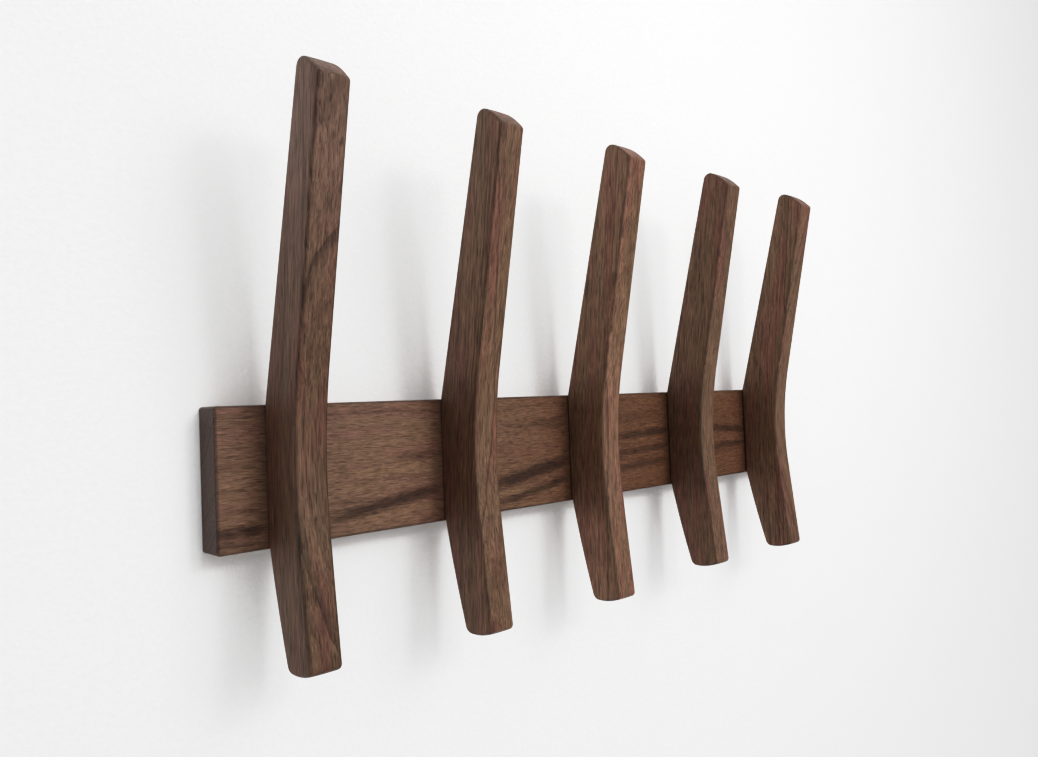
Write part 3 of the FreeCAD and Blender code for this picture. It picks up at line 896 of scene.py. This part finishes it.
@dataclass
class Studio:
    """The room round the rack: a painted wall, a pale floor, soft lights and the camera."""

    wall_reach: float = 3.2
    wall_gap: float = 0.3 * MM
    window_margin: float = 1.5 * MM
    floor_height: float = -1.3
    ambient: float = 0.49
    ambient_slope: Triple = (-0.55, 0.0, 0.6)
    softboxes: tuple[Softbox, ...] = (
        Softbox("right_softbox", (0.33, -1.7, 0.80), 0.28, 1.30),
        Softbox("left_softbox", (-0.25, -1.7, 0.76), 0.28, 1.05),
        Softbox("window", (0.75, -2.3, 1.2), 1.8, 9.6))
    light_aim: Triple = (0.13, 0.0, 0.22)
    light_spread: float = 96.0
    tones: tuple[tuple[float, float], ...] = (
        (0.03, 0.024), (0.10, 0.098), (0.20, 0.215), (0.35, 0.42), (0.50, 0.65), (0.65, 0.775),
        (0.80, 0.85), (1.0, 0.97))
    camera_place: Triple = (-0.46266, -0.45386, 0.03609)
    camera_yaw: float = 42.854
    camera_pitch: float = 1.7815
    camera_roll: float = -2.2475
    camera_lens: float = 27.707

    def build_wall(self, material: bpy.types.Material) -> bpy.types.Object:
        """Make the wall with a window a little inside the rail's outline.

        The window lets light reach the rail's back in views from behind, and from the room the
        rail covers it.

        Args:
            material: The wall's paint.

        Returns:
            The wall.
        """
        low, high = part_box("rail")
        far, gap = self.wall_reach, self.window_margin
        xs = (-far, low[0] + gap, high[0] - gap, far)
        zs = (self.floor_height, low[2] + gap, high[2] - gap, far)
        grid = [(x, self.wall_gap, z) for z in zs for x in xs]
        squares = [(i, j) for j in range(3) for i in range(3) if (i, j) != (1, 1)]
        quads = [(4 * j + i, 4 * j + i + 1, 4 * j + i + 5, 4 * j + i + 4) for i, j in squares]
        return flat_object("wall", grid, quads, material)

    def build_floor(self, material: bpy.types.Material) -> bpy.types.Object:
        """Make the plain pale floor, twice as far across as the wall.

        Args:
            material: The floor's surface.

        Returns:
            The floor.
        """
        far = self.wall_reach * 2
        corners = [(-far, -far, self.floor_height), (far, -far, self.floor_height),
                   (far, far, self.floor_height), (-far, far, self.floor_height)]
        return flat_object("floor", corners, [(0, 1, 2, 3)], material)

    def build_lights(self) -> None:
        """Fill the room with light and add the window and the softboxes that cast the shadows.

        The room's own light has the strength: ambient times one plus the slope's dot product
        with the direction it comes from, so it is stronger from the left and from above.
        """
        world = bpy.data.worlds.new("room_light")
        world.use_nodes = True
        background = world.node_tree.nodes["Background"]
        background.inputs["Color"].default_value = (1.0, 1.0, 1.0, 1.0)
        tree = world.node_tree
        direction = tree.nodes.new("ShaderNodeTexCoord")
        slope = tree.nodes.new("ShaderNodeVectorMath")
        slope.operation = "DOT_PRODUCT"
        slope.inputs[1].default_value = self.ambient_slope
        strength = tree.nodes.new("ShaderNodeMath")
        strength.operation = "MULTIPLY_ADD"
        strength.inputs[1].default_value = self.ambient
        strength.inputs[2].default_value = self.ambient
        tree.links.new(direction.outputs["Generated"], slope.inputs[0])
        tree.links.new(slope.outputs["Value"], strength.inputs[0])
        tree.links.new(strength.outputs[0], background.inputs["Strength"])
        bpy.context.scene.world = world
        for box in self.softboxes:
            light = bpy.data.lights.new(box.name, "AREA")
            light.shape = "SQUARE"
            light.size = box.size
            light.energy = box.power
            light.spread = math.radians(self.light_spread)
            lamp = bpy.data.objects.new(box.name, light)
            lamp.location = box.place
            lamp.rotation_mode = "QUATERNION"
            aim = Vector(self.light_aim) - Vector(box.place)
            lamp.rotation_quaternion = aim.to_track_quat("-Z", "Y")
            bpy.context.scene.collection.objects.link(lamp)

    def set_tones(self) -> None:
        """Deepen the darkest tones a little, lift the middle ones and let the whites level off."""
        view = bpy.context.scene.view_settings
        view.view_transform = "Standard"
        view.use_curve_mapping = True
        curve = view.curve_mapping.curves[COMBINED_CURVE]
        curve.points[0].location = (0.0, 0.0)
        curve.points[1].location = (1.0, self.tones[-1][1])
        for light, shown in self.tones[:-1]:
            curve.points.new(light, shown)
        view.curve_mapping.update()

    def build_camera(self) -> None:
        """Stand the camera in front and to the left, looking to the right along the rail."""
        yaw, pitch, roll = (math.radians(angle) for angle in
                            (self.camera_yaw, self.camera_pitch, self.camera_roll))
        ahead = Vector((math.sin(yaw) * math.cos(pitch), math.cos(yaw) * math.cos(pitch), math.sin(pitch)))
        level = Vector((math.cos(yaw), -math.sin(yaw), 0.0))
        upward = level.cross(ahead)
        right = math.cos(roll) * level + math.sin(roll) * upward
        upright = math.cos(roll) * upward - math.sin(roll) * level
        data = bpy.data.cameras.new("camera")
        data.lens = self.camera_lens
        data.sensor_width = 36.0
        data.clip_start = 0.01
        camera = bpy.data.objects.new("camera", data)
        turned = Matrix((right, upright, -ahead)).transposed().to_4x4()
        camera.matrix_world = Matrix.Translation(self.camera_place) @ turned
        bpy.context.scene.collection.objects.link(camera)
        bpy.context.scene.camera = camera


def dress(node: str, material: bpy.types.Material) -> None:
    """Give a CAD node's object a better material.

    Args:
        node: The node's name.
        material: Its new material.
    """
    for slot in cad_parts[node].material_slots:
        slot.material = material
    LOG.info("%s: %s", node, material.name)


RAIL_STREAKS = (
    Streak(left=-300, right=-252, height=-31, rise=3, thickness=6, depth=0.8),
    Streak(left=-238, right=-116, height=-32, rise=17, thickness=7, depth=0.85),
    Streak(left=-178, right=-112, height=3, rise=4, thickness=6, depth=0.45),
    Streak(left=-112, right=8, height=-25, rise=19, thickness=8, depth=0.92),
    Streak(left=-100, right=6, height=-37, rise=17, thickness=5, depth=0.8),
    Streak(left=-66, right=6, height=18, rise=9, thickness=4, depth=0.5),
    Streak(left=28, right=142, height=4, rise=5, thickness=6, depth=0.74),
    Streak(left=20, right=142, height=-10, rise=5, thickness=5, depth=0.66),
    Streak(left=22, right=142, height=-22, rise=5, thickness=5, depth=0.62),
    Streak(left=160, right=262, height=8, rise=-7, thickness=6, depth=0.78),
    Streak(left=165, right=262, height=-12, rise=2, thickness=5, depth=0.7))


def seat_shade(depth: float) -> CornerShade:
    """Paint shade on a peg's sides beside the rail it stands on, to a depth."""
    return CornerShade("X", place=0.0, half=34.0, before=34.0, after=40.0, depth=depth)


# each peg's corners paint shade on its sides beside the rail
PEG_CUTS: dict[int, dict[str, object]] = {
    1: dict(lean_deg=(1.0, 0.5), pith=(38.0, 86.0), ring=3.3, seed=11.3,
            light=1.00, drift=(40.0, 190.0),
            far=(0.152, 0.086, 0.060), corners=(seat_shade(0.40),)),
    2: dict(lean_deg=(-1.5, -1.0), pith=(-46.0, 84.0), ring=3.0, seed=23.9,
            light=1.31, corners=(seat_shade(0.50),)),
    3: dict(lean_deg=(1.0, -2.0), pith=(-40.0, 66.0), ring=3.6, seed=37.2,
            light=1.56, corners=(seat_shade(0.50),)),
    4: dict(lean_deg=(0.0, -1.0), pith=(-34.0, 92.0), ring=3.0, seed=41.8,
            light=1.19, corners=(seat_shade(0.50),)),
    5: dict(lean_deg=(2.0, 1.0), pith=(52.0, 70.0), ring=3.2, seed=58.4,
            light=1.36, corners=(seat_shade(0.35),))}


def rail_walnut(low: Vector, high: Vector, places: Sequence[float]) -> Walnut:
    """Choose the rail's board: tan at its left end, darker and streaked towards its right.

    Args:
        low, high: The rail's lowest and highest corners.
        places: The pegs' middles along the rail.

    Returns:
        The rail's walnut.
    """
    size = [1000 * (b - a) for a, b in zip(low, high)]
    middle = tuple(500 * (a + b) for a, b in zip(low, high))
    return Walnut(
        name="rail_walnut", axis=GrainAxis.ALONG_RAIL, centre=middle, lean_deg=(0.0, 0.0),
        pith=(95.0, 110.0), ring=3.4, seed=3.1,
        pale=(0.200, 0.115, 0.067), middle=(0.176, 0.100, 0.064), rosy=(0.170, 0.089, 0.062),
        dark=(0.030, 0.014, 0.008), late=0.25, wave=1.8,
        grain_width=0.8, grain_length=0.5, grain_depth=0.8,
        end_colour=(0.060, 0.037, 0.030), end_share=0.9,
        drift=(-190.0, 60.0), far=(0.124, 0.058, 0.031),
        streaks=RAIL_STREAKS, square=(size[2], size[1], size[0]),
        # painted shadow on the rail's front beside each peg, reaching further on the peg's left
        corners=tuple(CornerShade("-Y", place=1000 * place, half=9.0, before=18.0, after=8.0, depth=0.40)
                      for place in places))


def peg_walnut(number: int, place: float) -> Walnut:
    """Choose a peg's own piece of wood, darker than the rail and cut in its own way.

    Args:
        number: The peg's number, from the left.
        place: Its middle along the rail.

    Returns:
        The peg's walnut.
    """
    return Walnut(
        name=f"peg_{number}_walnut", axis=GrainAxis.ALONG_PEG, centre=(1000 * place, -50.0, 0.0),
        pale=(0.150, 0.084, 0.053), middle=(0.110, 0.063, 0.038), rosy=(0.120, 0.056, 0.038),
        dark=(0.042, 0.019, 0.009), late=0.5, wave=1.4, end_colour=(0.100, 0.062, 0.046),
        end_share=0.55, follow=0.12, **PEG_CUTS[number])


ZINC_PLATE = SteelFinish(name="zinc_plate", colour=(0.60, 0.61, 0.62), roughness=0.3, crystal_mm=2.2)
SCREW_STEEL = SteelFinish(name="screw_steel", colour=(0.60, 0.52, 0.34), roughness=0.28, crystal_mm=0.8)
WALL_PAINT = PlainFinish(name="wall_paint", colour=(0.86, 0.86, 0.86), roughness=0.85,
                         bump_mm=0.5, grain_mm=3.2)
FLOOR_PAPER = PlainFinish(name="floor_paper", colour=(0.80, 0.80, 0.80), roughness=0.8,
                          bump_mm=0.05, grain_mm=6.0)


def main() -> None:
    """Build every piece in order."""
    logging.basicConfig(level=logging.INFO, format="%(message)s")
    rail_low, rail_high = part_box("rail")
    boxes = {number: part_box(f"peg_{number}") for number in PEG_CUTS}
    places = {number: (low[0] + high[0]) / 2 for number, (low, high) in boxes.items()}
    dress("rail", rail_walnut(rail_low, rail_high, list(places.values())).material())
    for number, (low, high) in boxes.items():
        peg = Peg(number=number, place=places[number], face=rail_low[1],
                  rail_height=rail_high[2] - rail_low[2], width=high[0] - low[0],
                  tip_height=high[2], foot_height=low[2])
        piece = peg.build(peg_walnut(number, peg.place).material())
        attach(piece, "root")
        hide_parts(f"peg_{number}")
        LOG.info("peg %d: %d faces", number, len(piece.data.polygons))
    screw, plate = steel(SCREW_STEEL), steel(ZINC_PLATE)
    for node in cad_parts:
        if node.endswith("_screw"):
            dress(node, screw)
        elif node.endswith("_plate"):
            dress(node, plate)

    studio = Studio()
    paint = plain(WALL_PAINT)
    seen_from_the_room_only(paint)
    studio.build_wall(paint)
    studio.build_floor(plain(FLOOR_PAPER))
    studio.build_lights()
    studio.build_camera()
    studio.set_tones()


if __name__ == "__main__":
    main()
